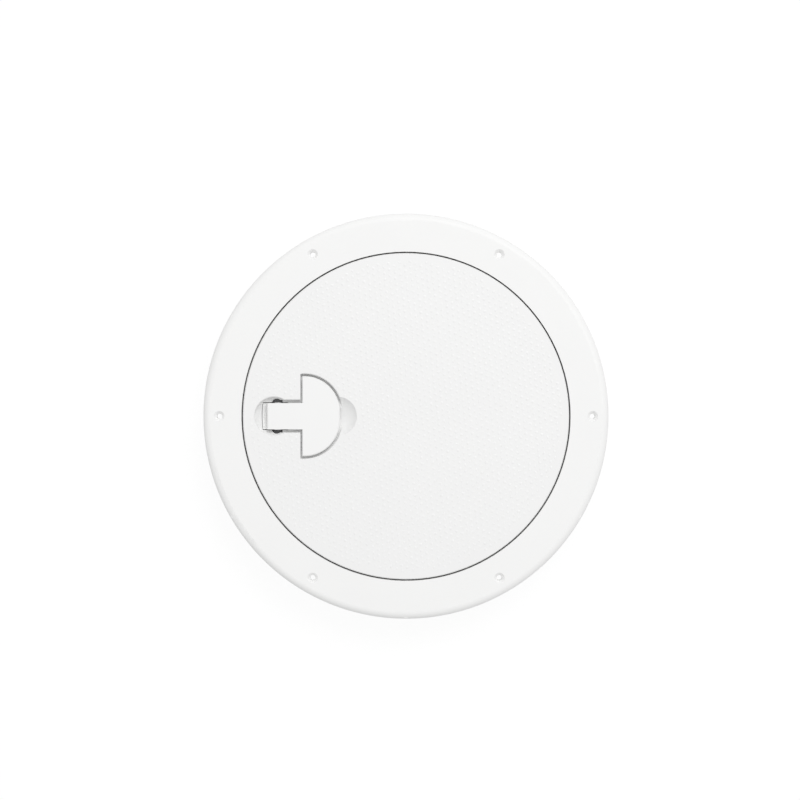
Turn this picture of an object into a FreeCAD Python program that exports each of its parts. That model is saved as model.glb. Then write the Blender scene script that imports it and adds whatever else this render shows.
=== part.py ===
import FreeCAD, Part
import math
import os
import re
import Sketcher

# A round deck inspection plate. A moulded ring is let into the deck, and a lid lies flush in it.
# A T-shaped lever lies flush in the lid. Lifting it swings two claws out from under a spring strip.
# Millimetres, +Z up. The origin is the middle of the screw circle, on the deck's surface.
# The lever's hinge is near the rim at -X, and its free end points to +X.

SIZES = {
    "top_height": 6.0,  # deck to the top of the ring, the lid and the lever
    "flange_width": 26.4,  # from the recess to the ring's outer edge
    "edge_round": 5.0,
    "flange_skin": 3.2,
    "flange_rim": 3.0,
    "recess_radius": 112.6,
    "recess_wall": 3.0,
    "recess_step": 0.6,  # the recess wall is thicker above the deck by this
    "recess_depth": 12.0,  # top of the ring to the ledge that carries the lid
    "ledge_thickness": 3.5,
    "ledge_width": 9.6,
    "collar_wall": 3.2,
    "collar_depth": 45.0,  # deck to the collar's lower edge
    "screw_inset": 11.3,  # from the ring's outer edge to the middle of a screw hole
    "screw_radius": 1.8,
    "sink_radius": 3.6,
    "boss_radius": 6.0,
    "flange_rib_thickness": 2.2,
    "gusset_thickness": 2.5,
    "gusset_drop": 12.0,
    "lid_gap": 1.0,  # between the lid and the recess
    "lid_skin": 3.2,
    "lid_rim": 3.2,
    "lid_edge_bevel": 0.6,
    "seat_gap": 0.2,
    "spigot_gap": 0.6,  # between the spigot and the collar
    "spigot_wall": 3.2,
    "spigot_depth": 20.0,  # deck to the spigot's lower edge
    "seal_section": 4.6,
    "seal_bevel": 1.35,
    "seal_height": 14.8,  # deck down to the middle of the ring seal
    "seal_squeeze_gap": 0.3,
    "seal_bed_gap": 0.1,  # between the ring seal and the groove's bottom
    "seal_side_gap": 0.3,  # between the ring seal and the groove's sides
    "seal_land": 2.4,
    "rib_thickness": 2.4,
    "rib_drop": 9.0,
    "hub_rib_radius": 26.0,
    "head_inset": 43.1,  # from the recess's wall to the middle of the head's arcs
    "head_radius": 24.2,
    "head_straight": 3.2,  # half of the short straight between the two arcs
    "head_back_inset": 41.4,
    "head_thickness": 4.6,
    "head_gap": 1.6,
    "back_gap": 1.0,
    "under_gap": 0.6,
    "slot_overlap": 3.0,  # how far the stem's slot runs on under the head's pocket
    "rim_bevel": 0.6,  # round the pocket's upper edge
    "stem_half": 9.0,
    "stem_inset": 17.5,  # from the recess's wall to the stem's end
    "stem_gap": 2.1,
    "swing_gap": 0.5,  # beside the hub and the heel, where they swing
    "lever_edge_bevel": 0.7,
    "lever_end_round": 1.2,
    "heel_wall": 0.8,  # between the stem's end and the room for the spring's leg
    "pocket_floor": 2.5,
    "pivot_inset": 24.6,  # from the recess's wall to the hinge
    "pivot_depth": 9.0,
    "hub_radius": 6.5,
    "heel_room": 0.3,
    "apron_drop": 2.0,  # how far the heel's apron reaches below the hinge
    "apron_inset": 0.1,  # how far the apron stays inside the heel's own reach
    "well_inset": 22.2,
    "well_radius": 13.1,
    "well_wall": 3.0,  # straight wall above the well's bowl
    "well_depth": 9.0,
    "housing_wall": 2.4,
    "scoop_inset": 65.7,
    "scoop_radius": 13.4,
    "scoop_depth": 6.5,
    "shaft_radius": 3.5,
    "shaft_square": 5.0,
    "bush_gap": 0.05,
    "bush_wall": 1.45,
    "bush_flange": 5.7,
    "bush_flange_thickness": 1.0,
    "small_seal_section": 1.2,
    "small_seal_gap": 0.1,
    "pin_radius": 1.25,
    "pin_offset": 6.3,
    "fit_gap": 0.02,  # round a pin or a thread in its hole
    "notch_half": 3.5,
    "spring_wire": 1.1,
    "spring_turns": 2.25,
    "spring_end_gap": 0.3,  # between the spring's fixed leg and the pocket
    "spring_clearance": 0.5,
    "claw_thickness": 3.0,
    "claw_gap": 0.2,
    "claw_hub": 5.0,
    "arm_width": 5.0,
    "arm_lean": 7.0,  # degrees outwards from straight down
    "hook_radius": 25.0,  # hinge to the hook's holding face, which is round about the hinge
    "hook_height": 4.5,
    "hook_lean": 19.5,  # degrees
    "toe_lean": 13.0,  # degrees
    "square_gap": 0.05,
    "washer_radius": 4.0,
    "washer_thickness": 0.6,
    "claw_screw_head": 2.8,
    "claw_screw_head_height": 1.8,
    "claw_screw_radius": 1.5,
    "claw_screw_length": 6.0,
    "strip_thickness": 1.5,
    "strip_half": 21.0,
    "strip_foot": 42.0,  # deck to the strip's lower end
    "nose_lean": 14.5,  # degrees
    "hook_clearance": 0.3,
    "pad_depth": 2.5,  # from the collar's wall to the pad's flat face
    "pad_half": 24.0,
    "pad_top": 28.0,
    "keeper_screw_spread": 12.0,
    "keeper_screw_height": 36.0,
    "keeper_screw_radius": 1.75,
    "keeper_screw_head": 3.3,
    "keeper_screw_head_height": 2.0,
    "keeper_screw_length": 8.5,
    "keeper_boss_radius": 4.5,
    "keeper_boss_end": 2.0,  # plastic left past the screw's end
    "drive_radius": 1.2,
    "drive_depth": 1.0,
}
# Distances from the ring's middle, each worked out from the sizes
PLACES = {
    "flange_radius": "recess_radius + flange_width",
    "screw_circle": "flange_radius - screw_inset",
    "collar_radius": "recess_radius - ledge_width",
    "pad_face": "collar_radius - pad_depth",
    "head_centre": "recess_radius - head_inset",
    "head_back": "recess_radius - head_back_inset",
    "stem_end": "recess_radius - stem_inset",
    "pivot_reach": "recess_radius - pivot_inset",
    "well_centre": "recess_radius - well_inset",
    "scoop_centre": "recess_radius - scoop_inset",
}
SIDES = {"left": -1, "right": 1}
SCREW_COUNT = 6
GUSSET_COUNT = 12
RIB_ANGLES = [0, 36, 72, 108, 144, 216, 252, 288, 324]
ROUND_ENDS_TO_Y = FreeCAD.Rotation(FreeCAD.Vector(1, 0, 0), -90)
ROUND_ENDS_TO_X = FreeCAD.Rotation(FreeCAD.Vector(0, 1, 0), 90)
UPRIGHT = FreeCAD.Rotation()

doc = FreeCAD.newDocument("deck_inspection_plate")
sheet = doc.addObject("Spreadsheet::Sheet", "sizes")
for row, (alias, number) in enumerate(SIZES.items(), start=1):
    sheet.set(f"A{row}", alias)
    sheet.set(f"B{row}", str(number))
    sheet.setAlias(f"B{row}", alias)
doc.recompute()


def size(text):
    """An expression in which each word that names a size or a place reads the cells."""
    return re.sub(r"[a-z_]+", lambda word: spelled(word[0]), text)


def spelled(word):
    if word in PLACES:
        return f"({size(PLACES[word])})"
    return f"sizes.{word}" if word in SIZES else word


def value(text):
    """The number that an expression of sizes comes to."""
    return float(sheet.evalExpression(size(text).replace("sizes.", "")))


def bind(thing, **terms):
    """Ties properties to expressions. x, y and z stand for the placement's three lengths."""
    names = {"x": "Placement.Base.x", "y": "Placement.Base.y", "z": "Placement.Base.z"}
    for name, text in terms.items():
        thing.setExpression(names.get(name, name), size(text))
    return thing


def cylinder(name, radius, height, x="0", y="0", z="0", turn=UPRIGHT):
    thing = doc.addObject("Part::Cylinder", name)
    thing.Placement.Rotation = turn
    return bind(thing, Radius=radius, Height=height, x=x, y=y, z=z)


def box(name, x, y, z):
    """A box between two values along each axis."""
    thing = doc.addObject("Part::Box", name)
    sides = {"Length": x, "Width": y, "Height": z}
    for side, (low, high) in sides.items():
        bind(thing, **{side: f"({high}) - ({low})"})
    return bind(thing, x=x[0], y=y[0], z=z[0])


def sphere(name, radius, x, z):
    return bind(doc.addObject("Part::Sphere", name), Radius=radius, x=x, z=z)


def join(name, things):
    thing = doc.addObject("Part::MultiFuse", name)
    thing.Shapes = things
    thing.Refine = True
    return thing


def cut(name, base, tools):
    """The base less the tools, one cut after another."""
    for number, tool in enumerate(tools, start=1):
        last = number == len(tools)
        thing = doc.addObject("Part::Cut", name if last else f"{name}_step_{number}")
        thing.Base = base
        thing.Tool = tool
        base = thing
    return base


def overlap(name, things):
    thing = doc.addObject("Part::MultiCommon", name)
    thing.Shapes = things
    return thing


def group(name, things):
    """Separate solids of one kind, kept together."""
    thing = doc.addObject("Part::Compound", name)
    thing.Links = things
    return thing


def sketch_on(body, plane, x="0", y="0", z="0"):
    """A sketch on one of the body's own planes, moved along the sketch's axes."""
    sketch = body.newObject("Sketcher::SketchObject", f"{body.Name}_sketch")
    origin_plane = [part for part in body.Origin.OriginFeatures if part.Role == plane][0]
    sketch.AttachmentSupport = [(origin_plane, "")]
    sketch.MapMode = "FlatFace"
    for axis, text in (("x", x), ("y", y), ("z", z)):
        sketch.setExpression(f"AttachmentOffset.Base.{axis}", size(text))
    return sketch


def hold(sketch, kind, geometry, point, text):
    """Holds a point of the sketch at a distance from the sketch's origin."""
    number = value(text)
    axis = {"DistanceX": -2, "DistanceY": -1}[kind]
    if text.strip() == "0":
        sketch.addConstraint(Sketcher.Constraint("PointOnObject", geometry, point, axis))
        return
    place = sketch.addConstraint(Sketcher.Constraint(kind, -1, 1, geometry, point, number))
    sketch.setExpression(f"Constraints[{place}]", size(text))


def draw(sketch, corners, arcs=None):
    """A closed outline, anticlockwise. Each corner is (x, y) or (x, y, what is held).

    arcs gives the stretches that are round: the number of the corner where one starts, with its
    middle's x and y, its radius and whether it runs anticlockwise.
    """
    arcs = arcs or {}
    spots = [FreeCAD.Vector(value(corner[0]), value(corner[1]), 0) for corner in corners]
    count = len(corners)
    ends = []
    for i, start in enumerate(spots):
        stop = spots[(i + 1) % count]
        if i not in arcs:
            sketch.addGeometry(Part.LineSegment(start, stop))
            ends.append((1, 2))
            continue
        x, y, radius, forward = arcs[i]
        middle = FreeCAD.Vector(value(x), value(y), 0)
        first, last = (start, stop) if forward else (stop, start)
        angles = [math.atan2(spot.y - middle.y, spot.x - middle.x) for spot in (first, last)]
        circle = Part.Circle(middle, FreeCAD.Vector(0, 0, 1), value(radius))
        sketch.addGeometry(Part.ArcOfCircle(circle, angles[0], angles[1]))
        ends.append((1, 2) if forward else (2, 1))
    for i in range(count):
        after = (i + 1) % count
        meet = Sketcher.Constraint("Coincident", i, ends[i][1], after, ends[after][0])
        sketch.addConstraint(meet)
    for i, (x, y, radius, forward) in arcs.items():
        hold(sketch, "DistanceX", i, 3, x)
        hold(sketch, "DistanceY", i, 3, y)
        place = sketch.addConstraint(Sketcher.Constraint("Radius", i, value(radius)))
        sketch.setExpression(f"Constraints[{place}]", size(radius))
    for i, corner in enumerate(corners):
        held = corner[2] if len(corner) > 2 else "xy"
        if "x" in held:
            hold(sketch, "DistanceX", i, ends[i][0], corner[0])
        if "y" in held:
            hold(sketch, "DistanceY", i, ends[i][0], corner[1])


def turned(name, corners, arcs=None):
    """A body turned about the Z axis from an outline of (radius, height)."""
    body = doc.addObject("PartDesign::Body", name)
    sketch = sketch_on(body, "XZ_Plane")
    draw(sketch, corners, arcs)
    turn = body.newObject("PartDesign::Revolution", f"{name}_turn")
    turn.Profile = sketch
    turn.ReferenceAxis = (sketch, ["V_Axis"])
    turn.Angle = 360
    return body


def plate(name, corners, arcs, low, high):
    """A body with an outline seen from above, between two heights."""
    body = doc.addObject("PartDesign::Body", name)
    sketch = sketch_on(body, "XY_Plane", z=low)
    draw(sketch, corners, arcs)
    pad = body.newObject("PartDesign::Pad", f"{name}_pad")
    pad.Profile = sketch
    pad.setExpression("Length", size(f"({high}) - ({low})"))
    return body


def side_plate(name, corners, arcs, half):
    """A body with an outline about the hinge line, seen along +Y, the same width both ways."""
    body = doc.addObject("PartDesign::Body", name)
    sketch = sketch_on(body, "XZ_Plane", x=PIVOT_X, y=PIVOT_Z)
    draw(sketch, corners, arcs)
    pad = body.newObject("PartDesign::Pad", f"{name}_pad")
    pad.Profile = sketch
    pad.Midplane = True
    pad.setExpression("Length", size(f"2 * ({half})"))
    return body


def edges_of(body, chosen):
    """The body's last feature, with the names of the edges that the test chooses."""
    doc.recompute()
    last = body.Tip
    return last, [f"Edge{i}" for i, edge in enumerate(last.Shape.Edges, start=1) if chosen(edge)]


def round_edges(body, name, chosen, radius):
    base = edges_of(body, chosen)
    fillet = body.newObject("PartDesign::Fillet", name)
    fillet.Base = base
    fillet.setExpression("Radius", size(radius))


def bevel_edges(body, name, chosen, breadth):
    base = edges_of(body, chosen)
    bevel = body.newObject("PartDesign::Chamfer", name)
    bevel.Base = base
    bevel.setExpression("Size", size(breadth))


def lies_at(edge, height):
    """Whether the whole edge lies at one height."""
    tiny = 1e-6
    return abs(edge.BoundBox.ZMin - height) < tiny and abs(edge.BoundBox.ZMax - height) < tiny


def both_sides(name, thing):
    """The thing at +Y and its mirror image at -Y."""
    mirror = doc.addObject("Part::Mirroring", f"{name}_mirror")
    mirror.Source = thing
    mirror.Normal = FreeCAD.Vector(0, 1, 0)
    return group(name, [thing, mirror])


# Places that several pieces share
TOP = "top_height"
RECESS_BOTTOM = "(top_height - recess_depth)"
LEDGE_BOTTOM = "(top_height - recess_depth - ledge_thickness)"
LID_RADIUS = "(recess_radius - lid_gap)"
LID_UNDER = "(top_height - lid_skin)"
SPIGOT_RADIUS = "(collar_radius - spigot_gap)"
SEAL_BED = "(collar_radius - seal_squeeze_gap - seal_section - seal_bed_gap)"
PIVOT_X = "(0 - pivot_reach)"
PIVOT_Z = "(top_height - pivot_depth)"
SLOT_HALF = "(stem_half + stem_gap)"
SWING_HALF = "(stem_half + swing_gap)"
HEAD_UNDER = "(top_height - head_thickness)"
POCKET_BOTTOM = "(top_height - head_thickness - under_gap)"
HEEL = "(stem_end - pivot_reach)"
SWING = (
    "(sqrt((stem_end - pivot_reach - lever_end_round) ^ 2 + (pivot_depth - lever_end_round) ^ 2)"
    " + lever_end_round + heel_room)"
)
WALL_OUTSIDE = "(well_radius + housing_wall)"
BUSH_OUTSIDE = "(well_radius + housing_wall + bush_flange_thickness)"
CLAW_INSIDE = f"({BUSH_OUTSIDE} + claw_gap)"
CLAW_OUTSIDE = f"({CLAW_INSIDE} + claw_thickness)"
STRIP_FACE = "(pad_face - strip_thickness)"
BUSH_LENGTH = f"({WALL_OUTSIDE} - {SWING_HALF})"
SMALL_SEAL_PLACE = f"({WALL_OUTSIDE} - {BUSH_LENGTH} / 2)"


def d_outline(grow, back):
    """The head's outline: two arcs with a short straight between them, and a flat back."""
    radius = f"(head_radius + {grow})"
    back_x = f"(0 - head_back - {back})"
    side = f"(head_straight + sqrt({radius} ^ 2 - (head_back + {back} - head_centre) ^ 2))"
    middle = "(0 - head_centre)"
    right = f"({middle} + {radius})"
    corners = [
        (back_x, f"(0 - {side})", "x"),
        (right, "(0 - head_straight)", "y"),
        (right, "head_straight", "y"),
        (back_x, side, "x"),
    ]
    arcs = {
        0: (middle, "(0 - head_straight)", radius, True),
        2: (middle, "head_straight", radius, True),
    }
    return corners, arcs


def deck_frame():
    """The ring: a hollow flange with a rounded edge, the recess, its ledge and the collar."""
    inner = "recess_radius"
    outer = "flange_radius"
    recess_out = "(recess_radius + recess_wall)"
    hollow_out = "(flange_radius - flange_rim)"
    hollow_top = "(top_height - flange_skin)"
    collar_out = "(collar_radius + collar_wall)"
    ring = turned(
        "ring",
        [
            ("collar_radius", "(0 - collar_depth)"),
            (collar_out, "(0 - collar_depth)"),
            (collar_out, LEDGE_BOTTOM),
            (recess_out, LEDGE_BOTTOM),
            (recess_out, "0"),
            (f"{recess_out} + recess_step", "0"),
            (f"{recess_out} + recess_step", hollow_top),
            (hollow_out, hollow_top),
            (hollow_out, "0"),
            (outer, "0"),
            (outer, TOP),
            (inner, TOP),
            (inner, RECESS_BOTTOM),
            ("collar_radius", RECESS_BOTTOM),
        ],
    )
    round_edges(
        ring,
        "ring_edge",
        lambda edge: lies_at(edge, value(TOP)) and edge.BoundBox.XLength > 2 * value("screw_circle"),
        "edge_round",
    )
    solids = [ring]
    holes = []
    for number in range(SCREW_COUNT):
        turn = f"{360 * number / SCREW_COUNT}"
        x = f"screw_circle * cos({turn})"
        y = f"screw_circle * sin({turn})"
        solids.append(cylinder(f"boss_{number}", "boss_radius", "top_height - flange_skin / 2", x, y))
        holes.append(cylinder(f"screw_hole_{number}", "screw_radius", "top_height + 2", x, y, "-1"))
        sink = doc.addObject("Part::Cone", f"sink_{number}")
        depth = "(sink_radius - screw_radius)"
        bind(sink, Radius1="screw_radius", Radius2="sink_radius", Height=depth)
        bind(sink, x=x, y=y, z=f"top_height - {depth}")
        holes.append(sink)
        rib_turn = 360 * (number + 0.5) / SCREW_COUNT
        solids.append(spoke(f"flange_rib_{number}", "recess_radius + 1", "flange_radius - 1",
                            "0", "top_height - flange_skin / 2", "flange_rib_thickness", rib_turn))
    for number in range(GUSSET_COUNT):
        turn = 360 * (number + 0.5) / GUSSET_COUNT
        solids.append(gusset(number, turn))
    pad_room = box("pad_block", ("0 - collar_radius - 1", "0 - pad_face"),
                   ("0 - pad_half", "pad_half"), ("0 - collar_depth", "0 - pad_top"))
    pad_bound = cylinder("pad_bound", "collar_radius + collar_wall / 2", "collar_depth",
                         z="0 - collar_depth")
    solids.append(overlap("pad", [pad_room, pad_bound]))
    boss_length = "(keeper_screw_length - strip_thickness + keeper_boss_end)"
    for tag, side in SIDES.items():
        solids.append(cylinder(f"keeper_boss_{tag}", "keeper_boss_radius", boss_length,
                               f"0 - pad_face - {boss_length}", f"{side} * keeper_screw_spread",
                               "0 - keeper_screw_height", ROUND_ENDS_TO_X))
        bore = "(keeper_screw_length - strip_thickness)"
        holes.append(cylinder(f"keeper_hole_{tag}", "keeper_screw_radius", bore,
                              f"0 - pad_face - {bore}", f"{side} * keeper_screw_spread",
                              "0 - keeper_screw_height", ROUND_ENDS_TO_X))
    whole = join("frame_solid", solids)
    return cut("deck_frame", whole, [join("frame_holes", holes)])


def spoke(name, start, stop, low, high, thickness, turn):
    """An upright rib between two radii, turned about the Z axis."""
    thing = doc.addObject("Part::Box", name)
    bind(thing, Length=f"({stop}) - ({start})", Width=thickness, Height=f"({high}) - ({low})")
    thing.Placement.Rotation = FreeCAD.Rotation(FreeCAD.Vector(0, 0, 1), turn)
    across = f"({thickness}) / 2"
    bind(thing, x=f"({start}) * cos({turn}) + {across} * sin({turn})",
         y=f"({start}) * sin({turn}) - {across} * cos({turn})", z=low)
    return thing


def gusset(number, turn):
    """A three-cornered rib under the ledge, against the collar."""
    body = doc.addObject("PartDesign::Body", f"gusset_{number}")
    sketch = sketch_on(body, "XZ_Plane")
    inside = "(collar_radius + collar_wall / 2)"
    outside = "(recess_radius + recess_wall - 1)"
    top = "(top_height - recess_depth - ledge_thickness / 2)"
    corners = [(inside, f"{top} - gusset_drop"), (outside, LEDGE_BOTTOM), (outside, top), (inside, top)]
    draw(sketch, corners)
    pad = body.newObject("PartDesign::Pad", f"gusset_pad_{number}")
    pad.Profile = sketch
    pad.Midplane = True
    pad.setExpression("Length", size("gusset_thickness"))
    body.Placement.Rotation = FreeCAD.Rotation(FreeCAD.Vector(0, 0, 1), turn)
    return body


def hinge_cylinder(name, radius, half, middle="0"):
    """A cylinder about the hinge line, from middle - half to middle + half along Y."""
    return cylinder(name, radius, f"2 * ({half})", PIVOT_X, f"({middle}) - ({half})", PIVOT_Z,
                    ROUND_ENDS_TO_Y)


def ball_radius(radius, depth):
    """The radius of the ball that makes a dish of a given radius and depth."""
    return f"((({radius}) ^ 2 + ({depth}) ^ 2) / (2 * ({depth})))"


def bowl(name, grow):
    """The round well: a straight wall above a shallow bowl."""
    ball = ball_radius("well_radius", "well_depth - well_wall")
    wall = cylinder(f"{name}_wall", f"well_radius + {grow}", f"well_depth + {grow} + 1",
                    "0 - well_centre", z=f"top_height - well_depth - {grow}")
    dish = sphere(f"{name}_dish", f"{ball} + {grow}", "0 - well_centre",
                  f"top_height - well_depth + {ball}")
    return overlap(name, [wall, dish])


def scoop(name, grow):
    """The finger scoop: a shallow part of a ball."""
    ball = ball_radius("scoop_radius", "scoop_depth")
    return sphere(name, f"{ball} + {grow}", "0 - scoop_centre", f"top_height - scoop_depth + {ball}")


def swing_room(name, grow, half):
    """The room that the heel swings through. To the right of the hinge it only clears the hub."""
    reach = f"({SWING} + {grow})"
    right = f"{PIVOT_X} + hub_radius + under_gap + {grow}"
    bound = box(f"{name}_bound", (f"{PIVOT_X} - {reach}", right), (f"0 - {half}", half),
                (f"{PIVOT_Z} - {reach}", f"{PIVOT_Z} + {reach}"))
    return overlap(name, [hinge_cylinder(f"{name}_round", reach, half), bound])


def lid():
    """The lid: a skin with a rim, a spigot with the seal's groove, ribs, and the lever's pocket."""
    groove = "(seal_section / 2 + seal_side_gap)"
    inside = f"({SEAL_BED} - seal_land)"
    spigot_inside = f"({SPIGOT_RADIUS} - spigot_wall)"
    step = f"(0 - seal_height + {groove} + seal_land)"
    disc = turned(
        "disc",
        [
            ("0", LID_UNDER),
            (spigot_inside, LID_UNDER),
            (spigot_inside, step),
            (inside, step),
            (inside, "(0 - spigot_depth)"),
            (SPIGOT_RADIUS, "(0 - spigot_depth)"),
            (SPIGOT_RADIUS, LID_UNDER),
            (f"({LID_RADIUS} - lid_rim)", LID_UNDER),
            (f"({LID_RADIUS} - lid_rim)", f"({RECESS_BOTTOM} + seat_gap)"),
            (LID_RADIUS, f"({RECESS_BOTTOM} + seat_gap)"),
            (LID_RADIUS, TOP),
            ("0", TOP),
        ],
    )
    bevel_edges(
        disc,
        "disc_edge",
        lambda edge: lies_at(edge, value(TOP)) and edge.BoundBox.XLength > 2 * value("collar_radius"),
        "lid_edge_bevel",
    )
    rib_low = "(top_height - lid_skin / 2 - rib_drop)"
    rib_high = "(top_height - lid_skin / 2)"
    ribs = [spoke(f"lid_rib_{turn}", "0", f"{SPIGOT_RADIUS} - spigot_wall / 2", rib_low, rib_high,
                  "rib_thickness", turn) for turn in RIB_ANGLES]
    hub_outside = cylinder("rib_hub_outside", "hub_rib_radius + rib_thickness", "rib_drop", z=rib_low)
    hub_inside = cylinder("rib_hub_inside", "hub_rib_radius", "rib_drop + 2", z=f"{rib_low} - 1")
    hub = cut("rib_hub", hub_outside, [hub_inside])

    # The pocket's walls stand under the skin, the thickness of a wall outside the hollow
    wall = "housing_wall"
    corners, arcs = d_outline(f"head_gap + {wall}", f"back_gap + {wall}")
    head_house = plate("head_house", corners, arcs, f"({POCKET_BOTTOM} - pocket_floor)", rib_high)
    slot_house = box("slot_house", ("0 - pivot_reach", "slot_overlap - head_back"),
                     (f"0 - {WALL_OUTSIDE}", WALL_OUTSIDE), (f"{POCKET_BOTTOM} - pocket_floor", rib_high))
    houses = [head_house, slot_house, swing_room("swing_house", wall, WALL_OUTSIDE),
              bowl("well_house", wall), scoop("scoop_house", wall)]
    # The well's wall reaches past the spigot, over the ledge
    over_ledge = f"({RECESS_BOTTOM} + seat_gap)"
    bounds = [
        cylinder("bound_in_collar", f"{SPIGOT_RADIUS} - fit_gap", f"{rib_high} + spigot_depth",
                 z="0 - spigot_depth"),
        cylinder("bound_in_recess", f"{LID_RADIUS} - lid_rim", f"{rib_high} - {over_ledge}", z=over_ledge),
    ]
    housing = overlap("housing", [join("housing_forms", houses), join("housing_bound", bounds)])
    solid = join("lid_solid", [disc, *ribs, hub, housing])
    return cut("lid", solid, [lever_pocket(), bush_seats(), seal_groove(groove)])


def lever_pocket():
    """The hollow that the lever lies in: its head, its stem, the well and the finger scoop."""
    corners, arcs = d_outline("head_gap", "back_gap")
    head = plate("head_pocket", corners, arcs, POCKET_BOTTOM, "top_height + 1")
    slot = box("slot_pocket", ("0 - pivot_reach", "slot_overlap - head_back"),
               (f"0 - {SLOT_HALF}", SLOT_HALF), (POCKET_BOTTOM, "top_height + 1"))
    hollows = [head, slot, bowl("well", "0"), swing_room("swing_pocket", "0", SWING_HALF),
               scoop("scoop", "0")]
    return join("lever_pocket", [*hollows, *pocket_rims()])


def pocket_rims():
    """The bevel round the upper edge of the head's pocket, the stem's slot and the well."""
    low = "(top_height - rim_bevel)"
    high = "(top_height + 1)"
    corners, arcs = d_outline("head_gap + rim_bevel", "back_gap + rim_bevel")
    half = f"({SLOT_HALF} + rim_bevel)"
    ends = ("0 - pivot_reach", "slot_overlap - head_back")
    slot_corners = [(ends[0], f"0 - {half}"), (ends[1], f"0 - {half}"), (ends[1], half), (ends[0], half)]
    rims = [plate("head_rim", corners, arcs, low, high), plate("slot_rim", slot_corners, None, low, high)]
    for rim in rims:
        bevel_edges(rim, f"{rim.Name}_bevel", lambda edge: lies_at(edge, value(low)), "rim_bevel")
    well_rim = doc.addObject("Part::Cone", "well_rim")
    bind(well_rim, Radius1="well_radius", Radius2="well_radius + rim_bevel + 1", Height="rim_bevel + 1",
         x="0 - well_centre", z=low)
    return [*rims, well_rim]


def bush_seats():
    """The bore through both walls of the well, where the bushes sit."""
    return hinge_cylinder("bush_seats", "shaft_radius + bush_gap + bush_wall", f"{WALL_OUTSIDE} + 1")


def seal_groove(half):
    """The groove round the spigot."""
    low = f"0 - seal_height - {half}"
    outside = cylinder("groove_outside", f"{SPIGOT_RADIUS} + 1", f"2 * {half}", z=low)
    inside = cylinder("groove_inside", SEAL_BED, f"2 * {half} + 2", z=f"{low} - 1")
    return cut("seal_groove", outside, [inside])


def lid_seal():
    """The moulded ring seal, with bevelled corners, in the spigot's groove."""
    outside = "(collar_radius - seal_squeeze_gap)"
    inside = "(collar_radius - seal_squeeze_gap - seal_section)"
    low = "(0 - seal_height - seal_section / 2)"
    high = "(0 - seal_height + seal_section / 2)"
    return turned("lid_seal", [
        (inside, f"{low} + seal_bevel"),
        (f"{inside} + seal_bevel", low),
        (f"{outside} - seal_bevel", low),
        (outside, f"{low} + seal_bevel"),
        (outside, f"{high} - seal_bevel"),
        (f"{outside} - seal_bevel", high),
        (f"{inside} + seal_bevel", high),
        (inside, f"{high} - seal_bevel"),
    ])


def handle():
    """The lever: a thin head and stem, the hub that turns in the well, and the heel with its apron."""
    corners, arcs = d_outline("0", "0")
    body = doc.addObject("PartDesign::Body", "lever")
    sketch = sketch_on(body, "XZ_Plane", x=PIVOT_X, y=PIVOT_Z)
    under = f"({HEAD_UNDER} - {PIVOT_Z})"
    draw(
        sketch,
        [
            (f"0 - {HEEL}", "0", "y"),
            ("0 - hub_radius * cos(45)", "0 - hub_radius * sin(45)", "x"),
            (f"sqrt(hub_radius ^ 2 - {under} ^ 2)", under, "y"),
            ("pivot_reach - head_back + 1", under),
            ("pivot_reach - head_back + 1", "pivot_depth"),
            (f"0 - {HEEL}", "pivot_depth"),
        ],
        {1: ("0", "0", "hub_radius", True)},
    )
    stem = body.newObject("PartDesign::Pad", "stem")
    stem.Profile = sketch
    stem.Midplane = True
    stem.setExpression("Length", size("2 * stem_half"))
    head_sketch = sketch_on(body, "XY_Plane", z=HEAD_UNDER)
    draw(head_sketch, corners, arcs)
    head = body.newObject("PartDesign::Pad", "head")
    head.Profile = head_sketch
    head.setExpression("Length", size("head_thickness"))
    round_edges(
        body,
        "heel_round",
        lambda edge: lies_at(edge, value(TOP)) and edge.BoundBox.XMax < value("1 - stem_end"),
        "lever_end_round",
    )
    bevel_edges(
        body,
        "top_bevel",
        lambda edge: lies_at(edge, value(TOP)) and edge.BoundBox.XMin > value("2 - stem_end"),
        "lever_edge_bevel",
    )
    # The spring's notch goes right through the hub, and its moving leg lies under the heel
    coil = "(shaft_radius + spring_clearance + spring_wire)"
    notch = hinge_cylinder("spring_notch", "hub_radius + 0.2", "notch_half")
    leg_room = box("leg_room", (f"{PIVOT_X} - {HEEL} + heel_wall", PIVOT_X),
                   ("0 - notch_half", "notch_half"),
                   (f"{PIVOT_Z} - hub_radius", f"{PIVOT_Z} + {coil} + bush_gap"))
    bore = hinge_cylinder("lever_bore", "shaft_radius", "stem_half + 1")
    pins = [hub_pin(f"pin_hole_{tag}", side, "fit_gap") for tag, side in SIDES.items()]
    # The head's back is round about the hinge, so that it clears the pocket as it rises
    back_radius = "sqrt((pivot_reach - head_back) ^ 2 + pivot_depth ^ 2)"
    back_half = "((head_radius + head_straight - stem_half) / 2)"
    backs = [hinge_cylinder(f"back_relief_{tag}", back_radius, f"{back_half} + 0.5",
                            f"{side} * (stem_half + {back_half} + 0.5)")
             for tag, side in SIDES.items()]
    solid = join("handle_solid", [body, apron()])
    return cut("handle", solid, [*backs, notch, leg_room, bore, join("pin_holes", pins)])


def apron():
    """A lip on the heel that carries the bowl's surface on over the room that the heel swings through."""
    reach = f"({SWING} - heel_room - apron_inset)"
    bound = box("apron_bound", (f"{PIVOT_X} - {reach}", f"{PIVOT_X} - {HEEL} + heel_wall"),
                ("0 - stem_half", "stem_half"), (f"{PIVOT_Z} - apron_drop", TOP))
    lip = overlap("apron_forms", [hinge_cylinder("apron_round", reach, "stem_half"), bound])
    return cut("apron", lip, [bowl("apron_bowl", "0")])


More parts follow.
